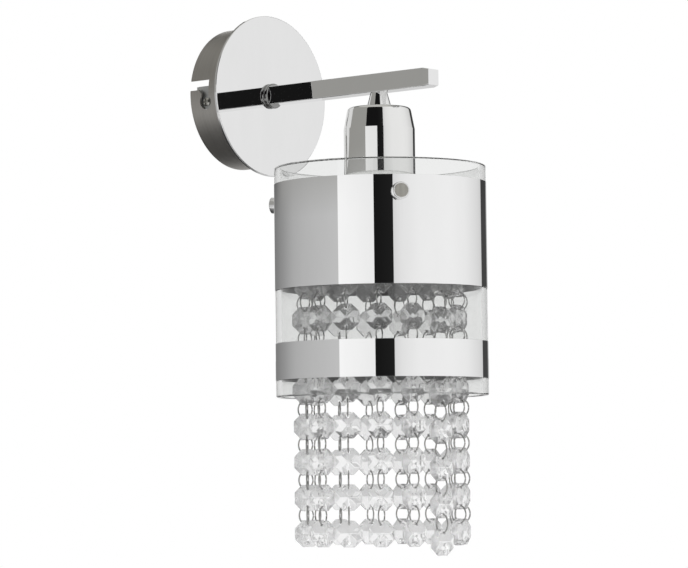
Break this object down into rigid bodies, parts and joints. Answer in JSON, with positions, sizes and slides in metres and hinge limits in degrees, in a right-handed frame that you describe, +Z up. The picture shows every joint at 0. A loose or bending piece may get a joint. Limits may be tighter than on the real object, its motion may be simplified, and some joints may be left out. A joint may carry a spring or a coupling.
{
  "type": "crystal wall sconce",
  "caption": "Wall light: round canopy, square arm, lampholder cup and a clear glass cylinder with mirror bands round hanging chains of octagonal crystals.",
  "frame": {"origin": "On the wall, at the centre of the wall bracket, which is on the arm's axis.", "axes": "+Y points into the wall, so the light stands out towards -Y. +Z is up. +X is to the right when the light is seen from the front."},
  "size_m": [0.1213, 0.1619, 0.3006],
  "materials": {
    "zinc_steel": "zinc plated, satin",
    "screw_steel": "nickel plated, bright",
    "brass": "machined",
    "satin_nickel": "satin nickel, fine brushed",
    "polished_chrome": "mirror polished",
    "block_plastic": "moulded, matt",
    "wire_insulation": "smooth sleeve",
    "holder_plastic": "moulded, black",
    "holder_ceramic": "glazed",
    "satin_steel": "turned, satin",
    "clear_glass": "clear, fire-polished edges",
    "band_mirror": "mirror plating",
    "crystal": "cut and polished",
    "ring_wire": "bright wire"
  },
  "bodies": {
    "wall_mount": {"wall_bracket": "zinc_steel", "canopy_screws": "screw_steel", "earth_screw": "brass"},
    "fixture": {"canopy_drum": "satin_nickel", "canopy_disc": "polished_chrome", "arm_collar": "polished_chrome", "arm_fixing_nut": "brass", "terminal_strap": "zinc_steel", "terminal_block": "block_plastic", "terminal_screws": "brass", "lamp_wires": "wire_insulation", "arm_tube": "polished_chrome", "arm_end_plug": "polished_chrome", "holder_cone": "polished_chrome", "holder_fixing": "zinc_steel", "holder_cup": "polished_chrome", "lampholder_cap": "holder_plastic", "lampholder_body": "holder_ceramic", "contact_shell": "brass", "centre_contact": "brass", "shade_ring": "holder_plastic", "shade_spider": "polished_chrome", "strand_hoop": "polished_chrome", "shade_fixings": "satin_steel", "shade_spacers": "block_plastic", "glass_shade": "clear_glass", "mirror_bands": "band_mirror"},
    "thumb_nut_1": {"thumb_nut_1": "satin_steel"},
    "thumb_nut_2": {"thumb_nut_2": "satin_steel"},
    "thumb_nut_3": {"thumb_nut_3": "satin_steel"},
    "strand_01": {"strand_01_beads": "crystal", "strand_01_rings": "ring_wire"},
    "strand_02": {"strand_02_beads": "crystal", "strand_02_rings": "ring_wire"},
    "strand_03": {"strand_03_beads": "crystal", "strand_03_rings": "ring_wire"},
    "strand_04": {"strand_04_beads": "crystal", "strand_04_rings": "ring_wire"},
    "strand_05": {"strand_05_beads": "crystal", "strand_05_rings": "ring_wire"},
    "strand_06": {"strand_06_beads": "crystal", "strand_06_rings": "ring_wire"},
    "strand_07": {"strand_07_beads": "crystal", "strand_07_rings": "ring_wire"},
    "strand_08": {"strand_08_beads": "crystal", "strand_08_rings": "ring_wire"},
    "strand_09": {"strand_09_beads": "crystal", "strand_09_rings": "ring_wire"},
    "strand_10": {"strand_10_beads": "crystal", "strand_10_rings": "ring_wire"},
    "strand_11": {"strand_11_beads": "crystal", "strand_11_rings": "ring_wire"},
    "strand_12": {"strand_12_beads": "crystal", "strand_12_rings": "ring_wire"},
    "strand_13": {"strand_13_beads": "crystal", "strand_13_rings": "ring_wire"},
    "strand_14": {"strand_14_beads": "crystal", "strand_14_rings": "ring_wire"},
    "strand_15": {"strand_15_beads": "crystal", "strand_15_rings": "ring_wire"}
  },
  "joints": [
    {"name": "canopy_twist", "type": "hinge", "parent": "wall_mount", "child": "fixture", "pos_m": [0, 0, 0], "axis": [0, 1, 0], "range_deg": [-14.3, 0]},
    {"name": "thumb_nut_1_turn", "type": "hinge", "parent": "fixture", "child": "thumb_nut_1", "pos_m": [-0.02154, -0.04659, -0.064], "axis": [-0.3502, 0.9367, 0], "continuous": true},
    {"name": "thumb_nut_2_turn", "type": "hinge", "parent": "fixture", "child": "thumb_nut_2", "pos_m": [-0.03912, -0.15166, -0.064], "axis": [-0.6361, -0.7716, 0], "continuous": true},
    {"name": "thumb_nut_3_turn", "type": "hinge", "parent": "fixture", "child": "thumb_nut_3", "pos_m": [0.06066, -0.11435, -0.064], "axis": [0.9863, -0.165, 0], "continuous": true},
    {"name": "strand_01_swing", "type": "hinge", "parent": "fixture", "child": "strand_01", "pos_m": [-0.03326, -0.13066, -0.0764], "axis": [-0.6225, 0.7826, 0], "range_deg": [-2, 2.8]},
    {"name": "strand_02_swing", "type": "hinge", "parent": "fixture", "child": "strand_02", "pos_m": [-0.01962, -0.1419, -0.0764], "axis": [-0.887, 0.4617, 0], "range_deg": [-2, 2.8]},
    {"name": "strand_03_swing", "type": "hinge", "parent": "fixture", "child": "strand_03", "pos_m": [-0.0026, -0.14662, -0.0764], "axis": [-0.9981, 0.061, 0], "range_deg": [-2, 2.8]},
    {"name": "strand_04_swing", "type": "hinge", "parent": "fixture", "child": "strand_04", "pos_m": [0.01488, -0.14401, -0.0764], "axis": [-0.9367, -0.3502, 0], "range_deg": [-2, 2.8]},
    {"name": "strand_05_swing", "type": "hinge", "parent": "fixture", "child": "strand_05", "pos_m": [0.02979, -0.13451, -0.0764], "axis": [-0.7133, -0.7009, 0], "range_deg": [-2, 2.8]},
    {"name": "strand_06_swing", "type": "hinge", "parent": "fixture", "child": "strand_06", "pos_m": [0.03954, -0.11978, -0.0764], "axis": [-0.3665, -0.9304, 0], "range_deg": [-2, 2.8]},
    {"name": "strand_07_swing", "type": "hinge", "parent": "fixture", "child": "strand_07", "pos_m": [0.04246, -0.10235, -0.0764], "axis": [0.0436, -0.999, 0], "range_deg": [-2, 2.8]},
    {"name": "strand_08_swing", "type": "hinge", "parent": "fixture", "child": "strand_08", "pos_m": [0.03803, -0.08524, -0.0764], "axis": [0.4462, -0.8949, 0], "range_deg": [-2, 2.8]},
    {"name": "strand_09_swing", "type": "hinge", "parent": "fixture", "child": "strand_09", "pos_m": [0.02703, -0.07141, -0.0764], "axis": [0.7716, -0.6361, 0], "range_deg": [-2, 2.8]},
    {"name": "strand_10_swing", "type": "hinge", "parent": "fixture", "child": "strand_10", "pos_m": [0.01136, -0.06325, -0.0764], "axis": [0.9636, -0.2672, 0], "range_deg": [-2, 2.8]},
    {"name": "strand_11_swing", "type": "hinge", "parent": "fixture", "child": "strand_11", "pos_m": [-0.00628, -0.06217, -0.0764], "axis": [0.989, 0.1478, 0], "range_deg": [-2, 2.8]},
    {"name": "strand_12_swing", "type": "hinge", "parent": "fixture", "child": "strand_12", "pos_m": [-0.02284, -0.06836, -0.0764], "axis": [0.8434, 0.5373, 0], "range_deg": [-2, 2.8]},
    {"name": "strand_13_swing", "type": "hinge", "parent": "fixture", "child": "strand_13", "pos_m": [-0.03544, -0.08074, -0.0764], "axis": [0.5519, 0.8339, 0], "range_deg": [-2, 2.8]},
    {"name": "strand_14_swing", "type": "hinge", "parent": "fixture", "child": "strand_14", "pos_m": [-0.04192, -0.09718, -0.0764], "axis": [0.165, 0.9863, 0], "range_deg": [-2, 2.8]},
    {"name": "strand_15_swing", "type": "hinge", "parent": "fixture", "child": "strand_15", "pos_m": [-0.04115, -0.11484, -0.0764], "axis": [-0.2504, 0.9681, 0], "range_deg": [-2, 2.8]}
  ]
}
